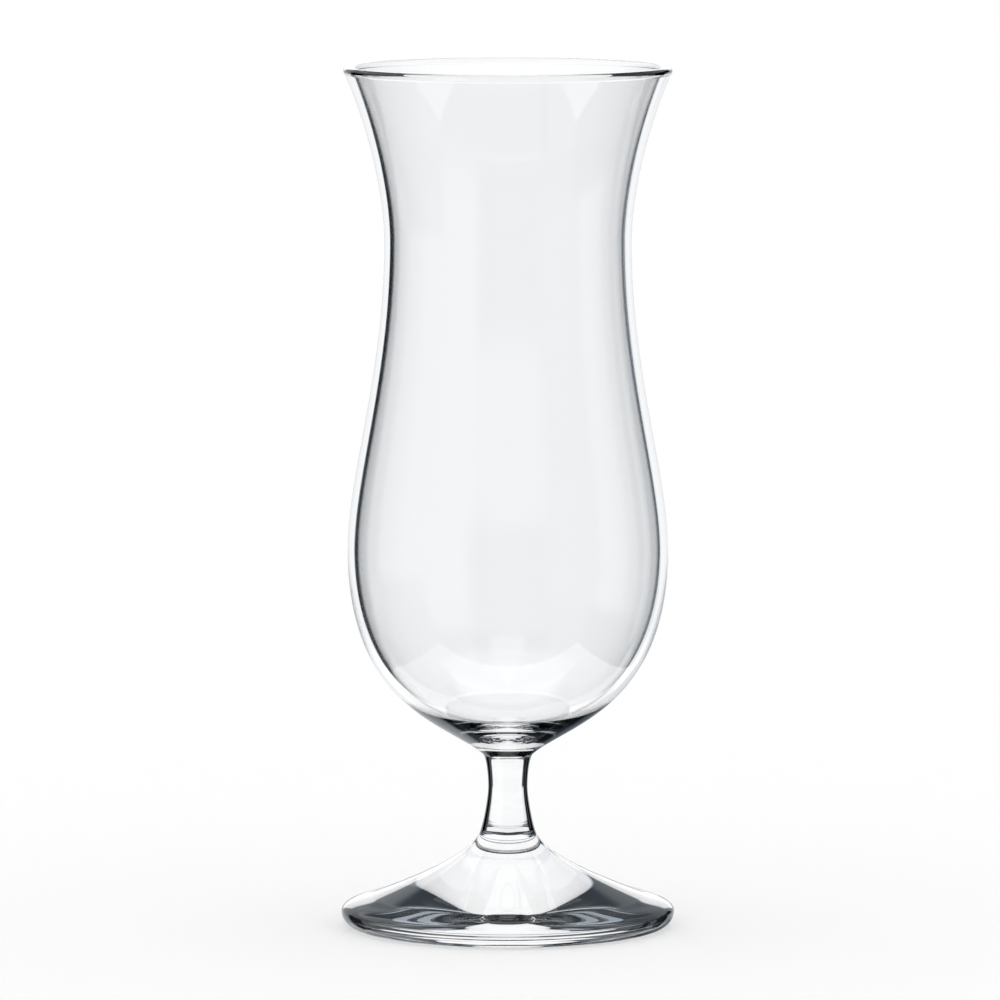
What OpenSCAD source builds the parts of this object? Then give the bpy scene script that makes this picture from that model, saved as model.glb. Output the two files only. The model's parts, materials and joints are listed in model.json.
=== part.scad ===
// Hurricane glass: a tall stemmed glass with a flared mouth, a narrow waist and a full belly.
// It is three pieces of clear glass, fused hot at two welds: a bowl, a short stem and a foot.
// The origin is on the table under the axis of the glass, and +Z is up.

/* [Foot] */
// Diameter of the foot at its widest
foot_d = 81.3; // [70:0.1:95]
// Height of the foot, from the table to its weld with the stem
foot_h = 23.8; // [19:0.1:30]
// Height of the foot's widest point above the table
edge_h = 3.7; // [2.5:0.1:4.5]
// How far the rounded lower edge runs in from the widest point to the seat
edge_roll = 3.7; // [2:0.1:5]
// How far the shoulder lies in from the widest point
shoulder_in = 7.6; // [5:0.1:11]
// Rise of the shoulder above the widest point
shoulder_rise = 3.9; // [2.5:0.1:6]
// Slope of the shoulder, in degrees from the table
shoulder_slope = 20.5; // [12:0.5:28]
// Lean of the boss at the weld, in degrees from upright
boss_lean = 12; // [0:0.5:30]
// Width of the flat ring that the glass stands on
seat_w = 4.5; // [2:0.1:8]
// Rise of the hollow underside in the middle of the foot
kick_h = 0.4; // [0.1:0.1:3]

/* [Stem] */
// Length of the stem between its two welds
stem_l = 18.6; // [12:0.1:60]
// Diameter of the stem at its thinnest
stem_d = 9.6; // [8:0.1:12]
// Height of the thinnest place above the weld with the foot
thin_h = 10.5; // [8:0.1:11]
// Diameter of the weld between the stem and the foot
foot_weld_d = 13.1; // [12.5:0.1:18]
// Diameter of the weld between the stem and the bowl
bowl_weld_d = 12.6; // [12.5:0.1:18]
// Lean of the stem's side at the foot, in degrees from upright
stem_foot_lean = 20; // [10:1:55]
// Lean of the stem's side at the bowl, in degrees from upright
stem_bowl_lean = 60; // [20:1:70]

/* [Bowl] */
// Height of the bowl, from its weld with the stem to the top of the rim
bowl_h = 167.6; // [155:0.1:190]
// Diameter of the belly, the widest place of the lower bowl
belly_d = 78; // [68:0.1:90]
// Height of the belly above the weld
belly_h = 49.6; // [45:0.1:56]
// Diameter of the waist, the narrowest place of the upper bowl
waist_d = 60; // [54:0.1:66]
// Height of the waist above the weld
waist_h = 125.3; // [115:0.1:132]
// Diameter of the mouth over the rim bead
mouth_d = 79.7; // [72:0.1:90]
// Flare of the mouth, in degrees from upright
mouth_flare = 23; // [12:0.5:30]
// Rise of the bowl's underside at the weld, in degrees from level
under_rise = 40; // [32:0.5:45]
// Thickness of the wall
wall = 2; // [1.5:0.1:2.4]
// How far the rounded bead around the rim swells past the wall on each side
bead_swell = 0.1; // [0.05:0.05:0.5]
// Thickness of the glass between the weld and the inside floor
base_t = 5.8; // [5:0.1:9]

/* [Curves] */
// Fullness of the foot's cone, as a share of its width
cone_full = 0.74; // [0.6:0.01:0.8]
// Straightness of the boss, as a share of its height above the shoulder
boss_full = 0.25; // [0.1:0.01:0.35]
// Fullness of the foot's upper edge, as a share of the shoulder's rise
edge_full = 0.57; // [0.3:0.01:0.8]
// Fullness of the stem beside its thinnest place, as a share of the length on that side
stem_full = 0.3; // [0.15:0.01:0.6]
// Sharpness of the stem's turn at each weld, as a share of the weld's diameter
weld_full = 0.1; // [0.05:0.01:0.2]
// Straightness of the bowl's underside at the weld, as a share of the belly's height
under_full = 0.23; // [0.12:0.01:0.3]
// Fullness below the belly, as a share of the belly's height
belly_low_full = 0.76; // [0.6:0.01:0.82]
// Fullness above the belly, as a share of the height from belly to waist
belly_high_full = 0.25; // [0.15:0.01:0.45]
// Fullness below the waist, as a share of the height from belly to waist
waist_low_full = 0.43; // [0.3:0.01:0.5]
// Fullness above the waist, as a share of the height from waist to rim
waist_high_full = 0.11; // [0.05:0.01:0.4]
// Straightness of the mouth's flare, as a share of the height from waist to rim
mouth_full = 0.54; // [0.3:0.01:0.6]
// Flatness of the inside floor, as a share of the inside radius at the belly
floor_full = 0.53; // [0.48:0.01:0.6]
// Fullness of the inside below the belly, as a share of its height above the floor
inside_full = 0.67; // [0.62:0.01:0.72]

/* [Hidden] */
$fn = 128;
curve_steps = 24;
bead_steps = 16;
clear_glass = [0.86, 0.9, 0.92, 0.45];

foot_r = foot_d / 2;
shoulder_r = foot_r - shoulder_in;
shoulder_h = edge_h + shoulder_rise;
seat_r = foot_r - edge_roll;
kick_r = seat_r - seat_w;
foot_weld_r = foot_weld_d / 2;

thin_z = foot_h + thin_h;
stem_top = foot_h + stem_l;
bowl_weld_r = bowl_weld_d / 2;

belly_r = belly_d / 2;
belly_z = stem_top + belly_h;
waist_r = waist_d / 2;
waist_z = stem_top + waist_h;
rim_z = stem_top + bowl_h;
floor_z = stem_top + base_t;
bead_r = wall / 2 + bead_swell;
bead_center = [mouth_d / 2 - bead_r, rim_z - bead_r];

// The outlines are drawn with the radius along x and the height along y.

// Direction that leans outward from upright by an angle
function leaning(angle) = [sin(angle), cos(angle)];

// Point at share t along the cubic curve with control points p
function curve_point(p, t) =
    pow(1 - t, 3) * p[0] + 3 * pow(1 - t, 2) * t * p[1] + 3 * (1 - t) * t * t * p[2] + pow(t, 3) * p[3];

// Direction of travel at share t along the curve
function curve_heading(p, t) =
    pow(1 - t, 2) * (p[1] - p[0]) + 2 * (1 - t) * t * (p[2] - p[1]) + t * t * (p[3] - p[2]);

// Unit direction to the left of a direction of travel
function left_of(v) = [-v[1], v[0]] / norm(v);

// Points along a curve after its first point
function curve(p) = [for (i = [1 : curve_steps]) curve_point(p, i / curve_steps)];

// Points a distance to the left of a curve, from its end back to just after its start
function curve_inset(p, distance) = [
    for (i = [curve_steps : -1 : 1])
        curve_point(p, i / curve_steps) + distance * left_of(curve_heading(p, i / curve_steps))
];

// Control points between two points that are left and reached along the given arms
function control(start, start_arm, end_arm, end) = [start, start + start_arm, end - end_arm, end];

// Quarter of a rounded edge, from an upright side at start to a level face at end
quarter_arm = 0.5523;
function quarter(start, end) =
    control(start, [0, (end[1] - start[1]) * quarter_arm], [(end[0] - start[0]) * quarter_arm, 0], end);

// Foot: boss, sloping cone, rounded edge, seat ring and hollow underside
boss_top = [foot_weld_r, foot_h];
shoulder = [shoulder_r, shoulder_h];
edge = [foot_r, edge_h];
down_slope = [cos(shoulder_slope), -sin(shoulder_slope)];
boss_arm = boss_full * (foot_h - shoulder_h) * [sin(boss_lean), -cos(boss_lean)];
cone_arm = cone_full * (shoulder_r - foot_weld_r) * down_slope;
edge_arm = edge_full * shoulder_rise;
cone_curve = control(boss_top, boss_arm, cone_arm, shoulder);
edge_curve = control(shoulder, edge_arm * down_slope, [0, -edge_arm], edge);
kick_curve = [for (i = [0 : curve_steps]) let (s = 1 - i / curve_steps) [kick_r * s, kick_h * (1 - s * s)]];
foot_outline = concat(
    [[0, foot_h], boss_top],
    curve(cone_curve),
    curve(edge_curve),
    curve(quarter(edge, [seat_r, 0])),
    kick_curve
);

// Stem: a waisted rod between the two welds
thin = [stem_d / 2, thin_z];
stem_foot_arm = weld_full * foot_weld_d * leaning(-stem_foot_lean);
stem_bowl_arm = weld_full * bowl_weld_d * leaning(stem_bowl_lean);
stem_lower = control([foot_weld_r, foot_h], stem_foot_arm, [0, stem_full * thin_h], thin);
stem_upper = control(thin, [0, stem_full * (stem_l - thin_h)], stem_bowl_arm, [bowl_weld_r, stem_top]);
stem_outline = concat(
    [[0, foot_h], [foot_weld_r, foot_h]],
    curve(stem_lower),
    curve(stem_upper),
    [[0, stem_top]]
);

// Bowl: the wall follows its outer curves at an even thickness down to the belly,
// and the inside closes over a thick base below it
mouth_way = leaning(mouth_flare);
mouth_out = -left_of(mouth_way);
bead_back = sqrt(bead_r * bead_r - wall * wall / 4);
lip = bead_center + mouth_out * wall / 2 - mouth_way * bead_back;
belly = [belly_r, belly_z];
waist = [waist_r, waist_z];
under_arm = under_full * belly_h * leaning(90 - under_rise);
under_curve = control([bowl_weld_r, stem_top], under_arm, [0, belly_low_full * belly_h], belly);
side_h = waist_h - belly_h;
side_curve = control(belly, [0, belly_high_full * side_h], [0, waist_low_full * side_h], waist);
lip_h = lip[1] - waist_z;
mouth_curve = control(waist, [0, waist_high_full * lip_h], mouth_full * lip_h * mouth_way, lip);
inside_r = belly_r - wall;
inside_arm = [0, -inside_full * (belly_z - floor_z)];
inside_curve = control([inside_r, belly_z], inside_arm, [-floor_full * inside_r, 0], [0, floor_z]);
bead_turn = 180 - asin(wall / 2 / bead_r);
bead_arc = [
    for (i = [1 : bead_steps - 1])
        let (turn = bead_turn * (1 - 2 * i / bead_steps))
            bead_center + bead_r * (cos(turn) * mouth_way + sin(turn) * mouth_out)
];
bowl_outline = concat(
    [[0, stem_top], [bowl_weld_r, stem_top]],
    curve(under_curve),
    curve(side_curve),
    curve(mouth_curve),
    bead_arc,
    curve_inset(mouth_curve, wall),
    curve_inset(side_curve, wall),
    [[inside_r, belly_z]],
    curve(inside_curve)
);

// Blown bowl with a beaded rim
module bowl() {
    color(clear_glass) rotate_extrude() polygon(bowl_outline);
}

// Drawn stem, fused to the bowl above and to the foot below
module stem() {
    color(clear_glass) rotate_extrude() polygon(stem_outline);
}

// Pressed foot that the glass stands on
module foot() {
    color(clear_glass) rotate_extrude() polygon(foot_outline);
}

bowl();
stem();
foot();
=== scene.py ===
"""Hurricane glass: clear bowl, stem and foot on a white table, in a white studio as in a product photograph."""
import json
import math

import bpy
import numpy as np
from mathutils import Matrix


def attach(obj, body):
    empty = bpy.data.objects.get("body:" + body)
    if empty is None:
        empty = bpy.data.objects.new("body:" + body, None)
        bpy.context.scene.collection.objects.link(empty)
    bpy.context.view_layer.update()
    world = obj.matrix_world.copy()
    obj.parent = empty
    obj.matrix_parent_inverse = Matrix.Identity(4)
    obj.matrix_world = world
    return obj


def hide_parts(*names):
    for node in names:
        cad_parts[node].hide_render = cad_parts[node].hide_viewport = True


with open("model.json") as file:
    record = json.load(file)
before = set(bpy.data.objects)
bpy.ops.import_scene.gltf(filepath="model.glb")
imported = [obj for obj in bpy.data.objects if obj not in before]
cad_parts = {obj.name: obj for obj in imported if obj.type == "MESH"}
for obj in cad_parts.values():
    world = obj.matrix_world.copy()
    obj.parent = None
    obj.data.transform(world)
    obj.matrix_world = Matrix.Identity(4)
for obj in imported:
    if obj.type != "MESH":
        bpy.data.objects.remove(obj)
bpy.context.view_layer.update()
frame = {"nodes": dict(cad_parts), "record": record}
scene = bpy.context.scene
scene.view_settings.view_transform = "Standard"

# Camera: a long lens a little above the rim, tilted down, with the glass just right of the middle
IMAGE_SIDE = 1000
FOCAL_PIXELS = 9310
SENSOR_WIDTH = 36.0
CAMERA_PLACE = (-0.00192, -2.2534, 0.33677)
CAMERA_TILT = math.radians(5.887)

# Lathe: how the CAD outline is read, points added between its corners, and faces around the axis
SEAM_WIDTH = 1e-6
PLACE_DIGITS = 7
STEPS_BETWEEN = 6
FACES_AROUND = 192
# Turns of the outline in radians: a corner past the first stays sharp, and one under the second isn't a corner
SHARP_TURN = math.radians(16)
NO_TURN = 0.002

# Glass: almost clear, with faint waves and haze left by the fire polish, in metres
GLASS_COLOR = (0.99, 0.994, 1.0, 1)
GLASS_IOR = 1.5
WAVE_LENGTH = 0.03
WAVE_HEIGHT = 0.000004
HAZE_LENGTH = 0.008
HAZE_MOST = 0.003
# Light that takes more turns than these inside the glass is lost in it
TURNS_FOLLOWED = 11
# Painted shade: the glass colour is painted black at a glance, between two shares of the way from square on (0)
# to edge on (1), for dark edges:
# where a ray has crossed the hollow and meets the far wall, and along the sides of the stem
WALL_EDGE_SHADE = (0.78, 0.87)
STEM_EDGE_SHADE = (0.34, 0.41)

WHITE = (1, 1, 1, 1)
# Painted shade: the black laid into the glass colour at a glance
PAINTED_SHADE_BLACK = (0, 0, 0, 1)


def both_sides(left, right, *rest):
    """A card on the right and its twin on the left."""
    return (left, right, *rest), (-right, -left, *rest)


# The set, by angles in degrees: across from straight behind the glass, right positive, and height.
# A card is (left, right, bottom, top, brightness, softness of its edge), and later cards lie over earlier ones.
# A table is (half width, front edge, brightness), sized by its depth below the glass.
ROUND = 400
# What is mirrored in the outside of the glass
MIRRORED = (
    (-ROUND, ROUND, -ROUND, ROUND, 0.65, 1),
    (-152, -72, -30, 50, 1.6, 6),
    (84, 110, -30, 38, 1.3, 4),
    (145, ROUND, -54, -33, 0.0, 3),
    (-ROUND, -150, -54, -33, 0.0, 3),
    (-118, -60, -41, -10, 0.9, 3),
    (56, 118, -41, -20, 0.24, 3),
    (98, ROUND, 34, 46, 2.0, 2),
    (-ROUND, -100, 36, 46, 2.0, 2),
    (30, 62, 10, 56, 0.5, 3),
    (-66, -18, 25, 56, 1.2, 3),
    (-46, -17, 52, 66, 2.0, 3),
    (15, 46, 50, 68, 1.5, 3),
    (2, 30, 14, 29, 0.5, 4),
    (-28, 28, 28, 51, 0.2, 3),
    (-8, 8, 17, 51, 0.03, 3),
    (1.22, -0.67, 1.95),
    (-ROUND, ROUND, -ROUND, -58, 1.6, 3),
    (-58, -36, -30, 12, 0.0, 2),
    (22, 72, -26, 14, 0.0, 2),
    (55, 64, -26, 8, 0.65, 1),
    (-33, 35, -48, 2, 0.8, 2),
    (-34, -20, -30, -18, 1.3, 2),
    (25, 35, -30, -18, 1.3, 2),
    (1, 26, -52, -12, 0.35, 3),
    (2, 26, -52, -21, 0.2, 3),
    (-28, 29, -54, -39, 0.03, 3),
    (3, 29, -54, -30, 0.03, 3),
    (-56, -34, -54, -37, 2.0, 3),
    (35, 56, -54, -37, 2.0, 3),
    (-52, 52, -ROUND, -60, 0.0, 2),
    (-15, 15, 2, 16, 2.2, 1),
)
# What shows straight through one wall, the rim, the stem or the foot
STRAIGHT = (
    (-ROUND, ROUND, -ROUND, ROUND, 0.02, 1),
    (-75, 75, 56, ROUND, 0.85, 4),
    *both_sides(84, ROUND, -ROUND, ROUND, 0.9, 6),
    (-ROUND, ROUND, -50, -9, 0.9, 2),
    (0.84, -0.67, 0.95),
    (-34, 38, -ROUND, 41, 1.0, 2),
)
# What shows by way of one turn inside the glass
ONE_TURN = (
    (-ROUND, ROUND, -ROUND, ROUND, 0.01, 1),
    (33, 46, -30, 12, 0.25, 3),
    *both_sides(90, 148, -22, 40, 0.3, 6),
    *both_sides(148, ROUND, 8, 40, 0.85, 4),
    (-ROUND, ROUND, 62, ROUND, 0.9, 4),
    *both_sides(100, ROUND, -ROUND, -48, 0.9, 4),
    (-70, 70, -60, -38, 0.15, 2),
    (-29, 32.5, -54, 39, 1.0, 1),
)
# What shows by way of more turns
MORE_TURNS = (
    (-ROUND, ROUND, -ROUND, ROUND, 0.02, 1),
    (-ROUND, ROUND, 58, ROUND, 0.35, 4),
    (-75, 80, 57, ROUND, 0.9, 4),
    *both_sides(158, ROUND, 48, ROUND, 0.85, 4),
    (-ROUND, ROUND, -ROUND, -57, 0.3, 4),
    *both_sides(165, ROUND, -68, -36, 0.75, 3),
    (0.84, -0.67, 0.9),
    *both_sides(68, 112, -64, -46, 0.15, 4),
    (-52, -33, -36, 6, 0.38, 4),
    (33, 52, -36, 6, 0.42, 4),
    (-22.5, 30, -ROUND, 43, 1.0, 1.5),
)
# Dim cards that lie over these for light that turns in the bowl's hollow
HOLLOW = (
    (-30, 34, -16, 1, 0.35, 4),
    (-8, 8, -16, 1, 0.0, 3),
)
# What shows by way of one turn and the stem: the white table, below a height with a soft edge
UNDER_STEM = 0.9
UNDER_STEM_HEIGHT = -38
UNDER_STEM_SOFT = 2
# Tables: softness of their edges, their least depth, and the heights between which they come in
TABLE_SOFT = 0.03
TABLE_LEAST_DEPTH = 0.001
TABLE_HEIGHTS = (-5, -8)
# Tint of what is dark, and the light that reaches the floor by way of the glass
DARK_TINT = (0.82, 1.0, 1.18, 1)
SHADOW_LIGHT = 1.45

# Floor, just under the seat, in metres
FLOOR_DROP = 0.0001
FLOOR_SIDE = 40.0


def make_camera():
    camera = bpy.data.objects.new("camera", bpy.data.cameras.new("camera"))
    scene.collection.objects.link(camera)
    camera.location = CAMERA_PLACE
    camera.rotation_euler = (math.pi / 2 - CAMERA_TILT, 0, 0)
    camera.data.sensor_width = SENSOR_WIDTH
    camera.data.lens = SENSOR_WIDTH * FOCAL_PIXELS / IMAGE_SIDE
    scene.camera = camera


def outline_of(node):
    """The (radius, height) corners of a turned CAD solid in order, read along its seam, where y is 0."""
    mesh = frame["nodes"][node].data

    def corner(index):
        x, y, z = mesh.vertices[index].co
        on_seam = abs(y) < SEAM_WIDTH and x > -SEAM_WIDTH
        return (round(x, PLACE_DIGITS), round(z, PLACE_DIGITS)) if on_seam else None

    links = {}
    for edge in mesh.edges:
        first, second = (corner(index) for index in edge.vertices)
        if first and second and first != second:
            links.setdefault(first, set()).add(second)
            links.setdefault(second, set()).add(first)
    # A level ring has no seam, so the two loose ends at one height are its edges
    ends = [point for point, others in links.items() if len(others) == 1 and point[0] > SEAM_WIDTH]
    for first in ends:
        for second in ends:
            if first != second and first[1] == second[1]:
                links[first].add(second)
    loose = [point for point in links if len(links[point]) == 1]
    path = [max(loose, key=lambda point: (point[0] > 0, -point[1]))]
    while True:
        onward = [point for point in links[path[-1]] if point not in path[-2:]]
        if not onward:
            return path if path[0][1] < path[-1][1] else path[::-1]
        path.append(onward[0])


def turning(before, here, after):
    """How sharply an outline turns at a corner, in radians."""
    way_in = math.atan2(here[1] - before[1], here[0] - before[0])
    way_out = math.atan2(after[1] - here[1], after[0] - here[0])
    return abs((way_out - way_in + math.pi) % (2 * math.pi) - math.pi)


def even_slopes(points):
    """Slopes at the corners of a run that make one curve through them, with an even bend across each corner."""
    points = np.array(points)
    gaps = np.linalg.norm(np.diff(points, axis=0), axis=1)
    chords = np.diff(points, axis=0) / gaps[:, None]
    count = len(points)
    sums = np.zeros((count, count))
    totals = np.zeros((count, 2))
    for index in range(1, count - 1):
        before, after = gaps[index - 1], gaps[index]
        sums[index, index - 1 : index + 2] = after, 2 * (before + after), before
        totals[index] = 3 * (after * chords[index - 1] + before * chords[index])
    for end, beside, chord in ((0, 1, chords[0]), (-1, -2, chords[-1])):
        on_axis = points[end, 0] < SEAM_WIDTH and count > 2
        sums[end, end], sums[end, beside] = (1, 0) if on_axis else (2, 1)
        totals[end] = (math.copysign(1, chord[0]), 0) if on_axis else 3 * chord
    return [tuple(slope) for slope in np.linalg.solve(sums, totals)]


def smooth_outline(points):
    """The outline with points added on smooth curves through its corners, and the corners that stay sharp."""
    threes = zip(points, points[1:], points[2:])
    inner = [three[1] for three in threes if turning(*three) > NO_TURN]
    points = [points[0], *inner, points[-1]]
    count = len(points)
    sharp = [
        index in (0, count - 1) or turning(*points[index - 1 : index + 2]) > SHARP_TURN for index in range(count)
    ]
    slopes = {}
    ends = [index for index in range(count) if sharp[index]]
    for first, last in zip(ends, ends[1:]):
        for index, slope in enumerate(even_slopes(points[first : last + 1]), first):
            slopes[index, first] = slope
    limits = [(min(side), max(side)) for side in zip(*points)]
    fine = [points[0]]
    corners = {0}
    for index in range(count - 1):
        start, end = points[index], points[index + 1]
        length = math.dist(start, end)
        run = max(first for first in ends if first <= index)
        leave, arrive = slopes[index, run], slopes[index + 1, run]
        for step in range(1, STEPS_BETWEEN + 1):
            t = step / STEPS_BETWEEN
            weights = (
                2 * t**3 - 3 * t**2 + 1,
                (t**3 - 2 * t**2 + t) * length,
                3 * t**2 - 2 * t**3,
                (t**3 - t**2) * length,
            )
            parts = (start, leave, end, arrive)
            place = (sum(weight * part[axis] for weight, part in zip(weights, parts)) for axis in (0, 1))
            fine.append(tuple(min(max(at, low), high) for at, (low, high) in zip(place, limits)))
        if sharp[index + 1]:
            corners.add(len(fine) - 1)
    return fine, corners


def turn_piece(name, node, material, weld):
    """A closed, smooth piece of glass turned from a CAD node's outline, with its weld faces marked."""
    points, corners = smooth_outline(outline_of(node))
    around = range(FACES_AROUND)
    vertices, faces, is_weld, rings = [], [], [], []
    for radius, height in points:
        if radius < SEAM_WIDTH:
            rings.append([len(vertices)] * FACES_AROUND)
            vertices.append((0, 0, height))
            continue
        rings.append([len(vertices) + turn for turn in around])
        for turn in around:
            angle = 2 * math.pi * turn / FACES_AROUND
            vertices.append((radius * math.cos(angle), radius * math.sin(angle), height))
    for lower, upper in zip(rings, rings[1:]):
        for turn in around:
            after = (turn + 1) % FACES_AROUND
            corners_of_face = (lower[turn], lower[after], upper[after], upper[turn])
            faces.append(tuple(dict.fromkeys(corners_of_face)))
            is_weld.append(False)
    # The flat weld faces close the open ends
    for end, ring in ((0, rings[0]), (-1, rings[-1])):
        if points[end][0] > SEAM_WIDTH:
            faces.append(tuple(ring) if end else tuple(reversed(ring)))
            is_weld.append(True)
    mesh = bpy.data.meshes.new(name)
    mesh.from_pydata(vertices, [], faces)
    mesh.materials.append(material)
    mesh.materials.append(weld)
    sharp_rings = {vertex for index in corners for vertex in rings[index]}
    for edge in mesh.edges:
        edge.use_edge_sharp = all(vertex in sharp_rings for vertex in edge.vertices)
    for polygon, at_weld in zip(mesh.polygons, is_weld):
        polygon.use_smooth = not at_weld
        polygon.material_index = int(at_weld)
    mesh.update()
    piece = bpy.data.objects.new(name, mesh)
    scene.collection.objects.link(piece)
    return piece


class Nodes:
    """Short calls for building a node tree."""

    # Places of the colour sockets on a Mix node, which has others of the same name
    FIRST_COLOR, SECOND_COLOR, MIXED_COLOR = 6, 7, 2

    def __init__(self, tree):
        self.tree = tree

    def add(self, kind):
        return self.tree.nodes.new(kind)

    def put(self, socket, value):
        if isinstance(value, bpy.types.NodeSocket):
            self.tree.links.new(value, socket)
        else:
            socket.default_value = value

    def math(self, operation, *values):
        node = self.add("ShaderNodeMath")
        node.operation = operation
        for socket, value in zip(node.inputs, values):
            self.put(socket, value)
        return node.outputs[0]

    def step(self, value, low, high):
        """0 below low and 1 above high, with a smooth step between them."""
        node = self.add("ShaderNodeMapRange")
        node.interpolation_type = "SMOOTHSTEP"
        self.put(node.inputs["Value"], value)
        self.put(node.inputs["From Min"], low)
        self.put(node.inputs["From Max"], high)
        return node.outputs["Result"]

    def axes(self, vector):
        node = self.add("ShaderNodeSeparateXYZ")
        self.put(node.inputs[0], vector)
        return node.outputs

    def degrees(self, angle):
        return self.math("MULTIPLY", angle, 180 / math.pi)

    def between(self, value, low, high, soft):
        """1 between two values and 0 outside them, with soft edges."""
        above = self.step(value, low - soft, low + soft)
        return self.math("MULTIPLY", above, self.step(value, high + soft, high - soft))

    def blend(self, below, above, share):
        """Above laid over below where share is 1."""
        return self.math("MULTIPLY_ADD", share, self.math("SUBTRACT", above, below), below)

    def at_most(self, count, most):
        """1 where a whole count is no more than the most."""
        return self.math("LESS_THAN", count, most + 0.5)

    def colors(self, first, second, share):
        """A colour between two colours."""
        node = self.add("ShaderNodeMix")
        node.data_type = "RGBA"
        self.put(node.inputs["Factor"], share)
        self.put(node.inputs[self.FIRST_COLOR], first)
        self.put(node.inputs[self.SECOND_COLOR], second)
        return node.outputs[self.MIXED_COLOR]

    def noise(self, length):
        """Noise over the object's own space, with features of about one length."""
        node = self.add("ShaderNodeTexNoise")
        self.put(node.inputs["Scale"], 1 / length)
        self.put(node.inputs["Detail"], 0.0)
        self.put(node.inputs["Vector"], self.add("ShaderNodeTexCoord").outputs["Object"])
        return node.outputs["Fac"]

    def pick(self, off, on, share):
        """One of two shaders: on where share is 1, and off where it is 0."""
        node = self.add("ShaderNodeMixShader")
        self.put(node.inputs[0], share)
        self.put(node.inputs[1], off)
        self.put(node.inputs[2], on)
        return node.outputs[0]


def glass_material(name, shade_glance, rays):
    """Clear glass, whose colour is painted black where rays of one kind meet it at a glance: painted shade for
    dark edges.
    """
    material = bpy.data.materials.new(name)
    material.use_nodes = True
    n = Nodes(material.node_tree)
    inputs = n.tree.nodes["Principled BSDF"].inputs
    # Painted shade: black mixed into the glass colour where rays of one kind meet it at a glance
    facing = n.add("ShaderNodeLayerWeight").outputs["Facing"]
    edge_shade = n.math("MULTIPLY", n.step(facing, *shade_glance), n.add("ShaderNodeLightPath").outputs[rays])
    n.put(inputs["Base Color"], n.colors(GLASS_COLOR, PAINTED_SHADE_BLACK, edge_shade))
    n.put(inputs["IOR"], GLASS_IOR)
    n.put(inputs["Transmission Weight"], 1.0)
    n.put(inputs["Roughness"], n.math("MULTIPLY", n.noise(HAZE_LENGTH), HAZE_MOST))
    waves = n.add("ShaderNodeBump")
    n.put(waves.inputs["Distance"], WAVE_HEIGHT)
    n.put(waves.inputs["Height"], n.noise(WAVE_LENGTH))
    n.put(inputs["Normal"], waves.outputs["Normal"])
    return material


def weld_material():
    """Fused glass has no surface at its weld, so nothing shows there."""
    material = bpy.data.materials.new("fused_weld")
    material.use_nodes = True
    shader = material.node_tree.nodes["Principled BSDF"]
    shader.inputs["Alpha"].default_value = 0.0
    return material


class StudioSet:
    """The set around the glass as sums on the direction that a ray leaves in."""

    def __init__(self, n):
        self.n = n
        self.x, self.y, self.z = n.axes(n.add("ShaderNodeTexCoord").outputs["Generated"])
        self.across = n.degrees(n.math("ARCTAN2", self.x, self.y))
        self.height = n.degrees(n.math("ARCSINE", self.z))

    def light(self, pieces, light=0.0):
        """Brightness of a set of cards and tables, each laid over those before it and over a first light."""
        n = self.n
        for piece in pieces:
            if len(piece) == 3:
                half_width, front, brightness = piece
                share = self.on_table(half_width, front)
            else:
                left, right, bottom, top, brightness, soft = piece
                wide = n.between(self.across, left, right, soft)
                share = n.math("MULTIPLY", wide, n.between(self.height, bottom, top, soft))
            light = n.blend(light, brightness, share)
        return light

    def on_table(self, half_width, front):
        """1 on a level table below the glass and 0 beside it."""
        n = self.n
        depth = n.math("MAXIMUM", n.math("MULTIPLY", self.z, -1.0), TABLE_LEAST_DEPTH)
        aside = n.math("ABSOLUTE", n.math("DIVIDE", self.x, depth))
        share = n.math(
            "MULTIPLY",
            n.step(aside, half_width + TABLE_SOFT, half_width - TABLE_SOFT),
            n.step(n.math("DIVIDE", self.y, depth), front - TABLE_SOFT, front + TABLE_SOFT),
        )
        return n.math("MULTIPLY", share, n.step(self.height, *TABLE_HEIGHTS))


def background(n, light):
    """A background of one brightness, a little blue where it is dark."""
    shader = n.add("ShaderNodeBackground")
    n.put(shader.inputs["Color"], n.colors(DARK_TINT, WHITE, light))
    n.put(shader.inputs["Strength"], light)
    return shader.outputs[0]


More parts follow.
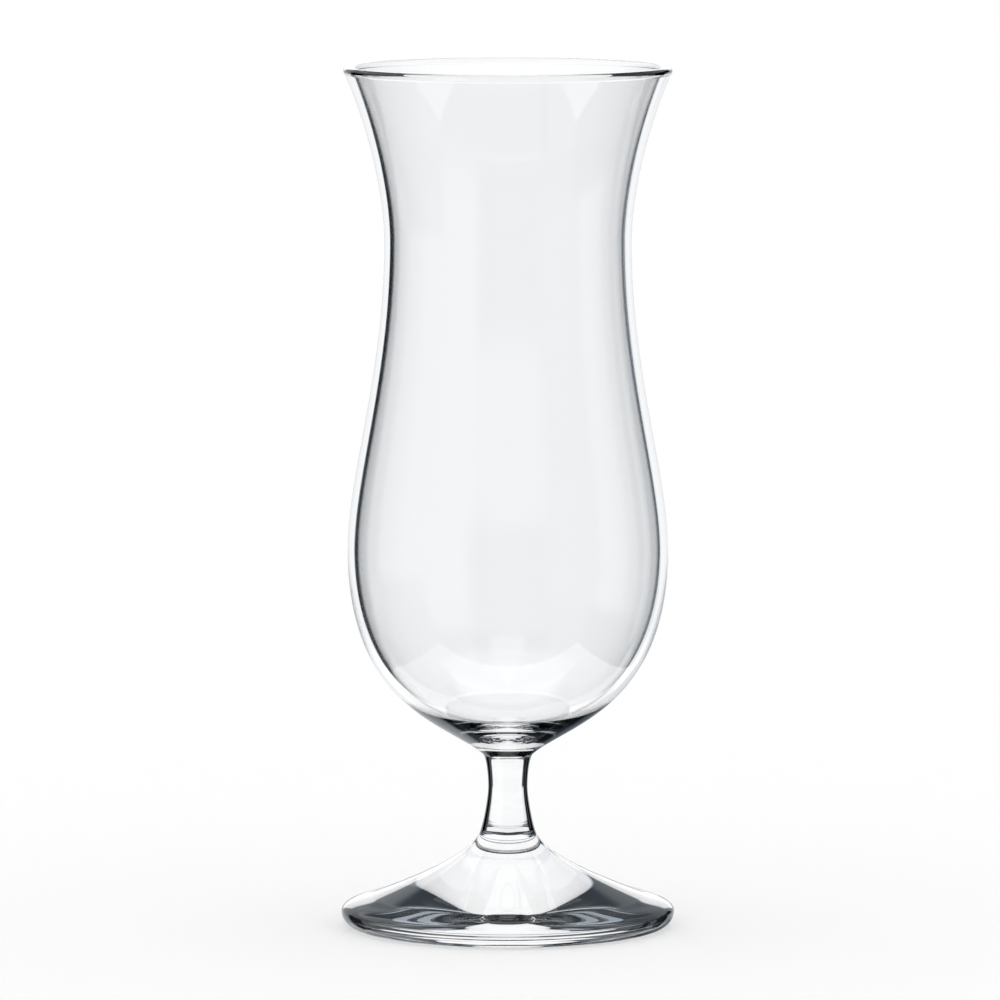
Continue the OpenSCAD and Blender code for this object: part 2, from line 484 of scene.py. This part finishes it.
def make_world():
    """The set, which differs by how often a ray turned inside the glass and passed through its surface."""
    world = bpy.data.worlds.new("studio")
    scene.world = world
    world.use_nodes = True
    world.node_tree.nodes.clear()
    n = Nodes(world.node_tree)
    studio = StudioSet(n)
    white = background(n, 1.0)
    path = n.add("ShaderNodeLightPath").outputs
    turns, passes = path["Glossy Depth"], path["Transmission Depth"]
    in_and_out = n.at_most(passes, 2)
    # Light that crosses a weld comes down the stem, to the white table under it
    in_stem = n.math("SUBTRACT", 1.0, n.at_most(path["Transparent Depth"], 0))
    edges = (UNDER_STEM_HEIGHT + UNDER_STEM_SOFT, UNDER_STEM_HEIGHT - UNDER_STEM_SOFT)
    under_stem = n.math("MULTIPLY", in_stem, n.step(studio.height, *edges))
    turned = n.blend(studio.light(ONE_TURN), UNDER_STEM, under_stem)
    more = studio.light(MORE_TURNS)
    shown = n.pick(background(n, more), background(n, turned), n.at_most(turns, 1))
    shown = n.pick(background(n, studio.light(HOLLOW, more)), shown, in_and_out)
    # A look right through the bowl meets the white background, whichever side it is from
    straight = n.pick(white, background(n, studio.light(STRAIGHT)), in_and_out)
    shown = n.pick(shown, straight, n.at_most(turns, 0))
    shown = n.pick(shown, background(n, studio.light(MIRRORED)), n.at_most(passes, 0))
    # The floor gets plain white light by way of the glass, and the camera sees plain white
    shown = n.pick(background(n, SHADOW_LIGHT), shown, n.at_most(path["Diffuse Depth"], 0))
    shown = n.pick(white, shown, n.math("MAXIMUM", path["Is Glossy Ray"], path["Is Transmission Ray"]))
    n.put(n.add("ShaderNodeOutputWorld").inputs["Surface"], shown)


def floor_material():
    material = bpy.data.materials.new("white_table")
    material.use_nodes = True
    shader = material.node_tree.nodes["Principled BSDF"]
    shader.inputs["Base Color"].default_value = WHITE
    shader.inputs["Roughness"].default_value = 1.0
    shader.inputs["Specular IOR Level"].default_value = 0.0
    return material


def make_floor():
    half = FLOOR_SIDE / 2
    mesh = bpy.data.meshes.new("floor")
    corners = [(-half, -half, 0), (half, -half, 0), (half, half, 0), (-half, half, 0)]
    mesh.from_pydata(corners, [], [(0, 1, 2, 3)])
    mesh.materials.append(floor_material())
    floor = bpy.data.objects.new("floor", mesh)
    floor.location.z = -FLOOR_DROP
    # The glass shows the tables of the set instead
    floor.visible_glossy = False
    floor.visible_transmission = False
    scene.collection.objects.link(floor)


def make_glass():
    weld = weld_material()
    slots = {part["node"]: part["material_slot"] for part in frame["record"]["subparts"]}
    # Painted shade at a glance: on the far wall of the bowl and foot for rays passing through, and on the stem's
    # sides as the camera sees them
    far_wall_shade = (WALL_EDGE_SHADE, "Is Transmission Ray")
    stem_side_shade = (STEM_EDGE_SHADE, "Is Camera Ray")
    for node, edge_shade in (("bowl", far_wall_shade), ("stem", stem_side_shade), ("foot", far_wall_shade)):
        piece = turn_piece("glass_" + node, node, glass_material(slots[node], *edge_shade), weld)
        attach(piece, "root")
        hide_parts(node)


scene.cycles.max_bounces = TURNS_FOLLOWED
scene.cycles.glossy_bounces = TURNS_FOLLOWED
scene.cycles.transmission_bounces = TURNS_FOLLOWED
scene.cycles.transparent_max_bounces = TURNS_FOLLOWED

make_camera()
make_glass()
make_world()
make_floor()
